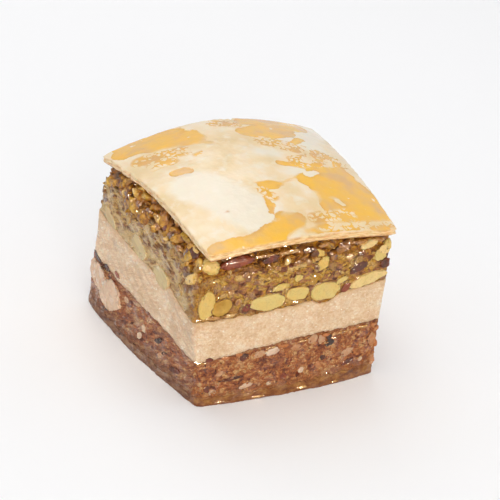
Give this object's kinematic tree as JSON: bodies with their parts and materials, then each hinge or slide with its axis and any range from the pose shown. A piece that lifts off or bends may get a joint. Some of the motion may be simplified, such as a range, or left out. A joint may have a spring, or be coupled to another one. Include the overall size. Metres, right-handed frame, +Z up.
{
  "type": "layered nut baklava piece",
  "caption": "Hand-cut square of layered pastry: soaked leaves, brown and pale nut paste, coarse pistachio with cut kernels, and a domed syrup-glazed lid of pastry leaves.",
  "frame": {"origin": "middle of the flat base, on the surface that the piece rests on", "axes": "+Z up; the wide cut face that a buyer sees looks along -Y; +X along that face to the right as it is looked at"},
  "size_m": [0.0462, 0.0432, 0.0357],
  "materials": {
    "soaked_pastry": "thin pastry leaves soaked through with syrup, orange-tan and glossy, with a wet rim",
    "brown_nut_paste": "moist reddish-brown ground nut paste, mottled with dark skins and pale nut bits",
    "pale_nut_paste": "fine pale peach nut paste, softly granular with small wet glints",
    "ground_pistachio": "olive and brown ground pistachio, coarse and syrup-glossy under the lid",
    "pistachio_kernel": "smooth yellow-green kernel where it is cut, darker at its skin",
    "glazed_pastry": "thin baked pastry leaves, cream where dry and amber where the syrup glaze has soaked in"
  },
  "bodies": {
    "root": {"bottom_pastry": "soaked_pastry", "brown_nut_layer": "brown_nut_paste", "pale_nut_layer": "pale_nut_paste", "pistachio_layer": "ground_pistachio", "top_pastry": "glazed_pastry", "front_kernel_1": "pistachio_kernel", "front_kernel_2": "pistachio_kernel", "front_kernel_3": "pistachio_kernel", "front_kernel_4": "pistachio_kernel", "front_kernel_5": "pistachio_kernel", "front_kernel_6": "pistachio_kernel", "left_kernel_1": "pistachio_kernel", "left_kernel_2": "pistachio_kernel", "left_kernel_3": "pistachio_kernel", "back_kernel_1": "pistachio_kernel", "back_kernel_2": "pistachio_kernel", "back_kernel_3": "pistachio_kernel", "right_kernel_1": "pistachio_kernel", "right_kernel_2": "pistachio_kernel", "right_kernel_3": "pistachio_kernel"}
  },
  "joints": []
}
